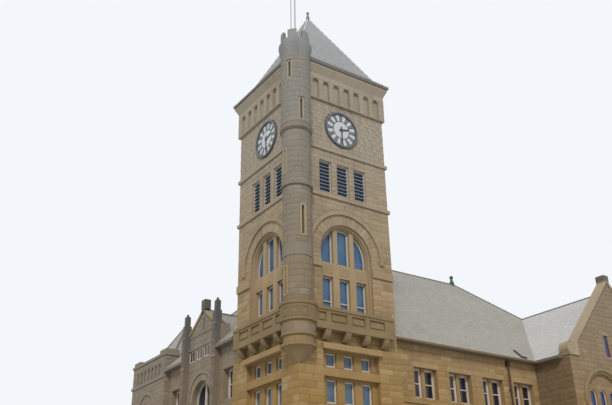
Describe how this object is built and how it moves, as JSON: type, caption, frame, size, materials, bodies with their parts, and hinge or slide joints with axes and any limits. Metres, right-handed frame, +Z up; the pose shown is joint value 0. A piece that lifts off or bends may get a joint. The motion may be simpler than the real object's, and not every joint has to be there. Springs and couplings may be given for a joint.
{
  "type": "town hall building",
  "caption": "Stone town hall with a square clock tower, a round stair turret on its corner, a bracketed balcony, hipped slate roofs, a gabled wing and a corner pavilion",
  "frame": {"origin": "middle of the plan's bounding box, on the ground", "axes": "+Z up; +X along the front to the right; +Y from the front to the back, so the front faces -Y and the clock tower stands at the front left corner"},
  "size_m": [32.85, 22.51, 36.626],
  "materials": {
    "sandstone": "rock-faced sandstone ashlar, matte",
    "dressed_stone": "smooth dressed sandstone, matte",
    "weathered_stone": "dark weathered stone, rough",
    "roof_slate": "pale grey slates, slightly weathered",
    "timber_floor": "plain boards",
    "window_glass": "clear window glass",
    "painted_frame": "off-white paint, weathered",
    "louvre_paint": "dark blue-green paint",
    "dial": "white and grey paint",
    "hand_metal": "dark paint",
    "door_wood": "dark varnished boards",
    "copper": "dark green weathered copper",
    "pole_metal": "dull grey metal",
    "iron_pipe": "brown paint, dull"
  },
  "bodies": {
    "building": {"tower_base_walls": "sandstone", "tower_arch_walls": "sandstone", "tower_belfry_walls": "sandstone", "tower_clock_walls": "sandstone", "tower_arcade_walls": "sandstone", "tower_string_courses": "dressed_stone", "tower_floors": "timber_floor", "tower_window_stonework": "dressed_stone", "tower_window_glass": "window_glass", "belfry_louvres": "louvre_paint", "clock_dials": "dial", "rear_clock_hands": "hand_metal", "tower_roof": "roof_slate", "roof_finials": "copper", "stair_turret": "sandstone", "turret_crown": "sandstone", "turret_poles": "pole_metal", "balcony_floor": "sandstone", "balcony_parapet": "dressed_stone", "front_wall": "sandstone", "left_wall": "sandstone", "back_wall": "sandstone", "right_wall": "sandstone", "gable_front_wall": "sandstone", "gable_side_wall": "sandstone", "gable_coping": "dressed_stone", "gable_roof": "roof_slate", "entrance_bay_wall": "sandstone", "entrance_pinnacles": "weathered_stone", "entrance_roof": "roof_slate", "entrance_doors": "door_wood", "entrance_steps": "dressed_stone", "pavilion_walls": "sandstone", "pavilion_parapet": "dressed_stone", "pavilion_roof": "roof_slate", "main_roof": "roof_slate", "main_floors": "timber_floor", "plinth_and_strings": "dressed_stone", "window_frames": "painted_frame", "window_glass": "window_glass", "rainwater_pipe": "iron_pipe"},
    "minute_hand_front_body": {"minute_hand_front": "hand_metal"},
    "hour_hand_front_body": {"hour_hand_front": "hand_metal"},
    "minute_hand_left_body": {"minute_hand_left": "hand_metal"},
    "hour_hand_left_body": {"hour_hand_left": "hand_metal"}
  },
  "joints": [
    {"name": "minute_hand_front_turn", "type": "hinge", "parent": "building", "child": "minute_hand_front_body", "pos_m": [-11.975, -10.3425, 25.31], "axis": [0, 1, 0], "continuous": true},
    {"name": "hour_hand_front_turn", "type": "hinge", "parent": "building", "child": "hour_hand_front_body", "pos_m": [-11.975, -10.3125, 25.31], "axis": [0, 1, 0], "continuous": true},
    {"name": "minute_hand_left_turn", "type": "hinge", "parent": "building", "child": "minute_hand_left_body", "pos_m": [-15.3325, -6.985, 25.31], "axis": [1, 0, 0], "continuous": true},
    {"name": "hour_hand_left_turn", "type": "hinge", "parent": "building", "child": "hour_hand_left_body", "pos_m": [-15.3025, -6.985, 25.31], "axis": [1, 0, 0], "continuous": true}
  ],
  "couplings": [
    {"joint": "hour_hand_front_turn", "follows": "minute_hand_front_turn", "ratio": 0.083333},
    {"joint": "minute_hand_left_turn", "follows": "minute_hand_front_turn", "ratio": 1},
    {"joint": "hour_hand_left_turn", "follows": "minute_hand_front_turn", "ratio": 0.083333}
  ]
}
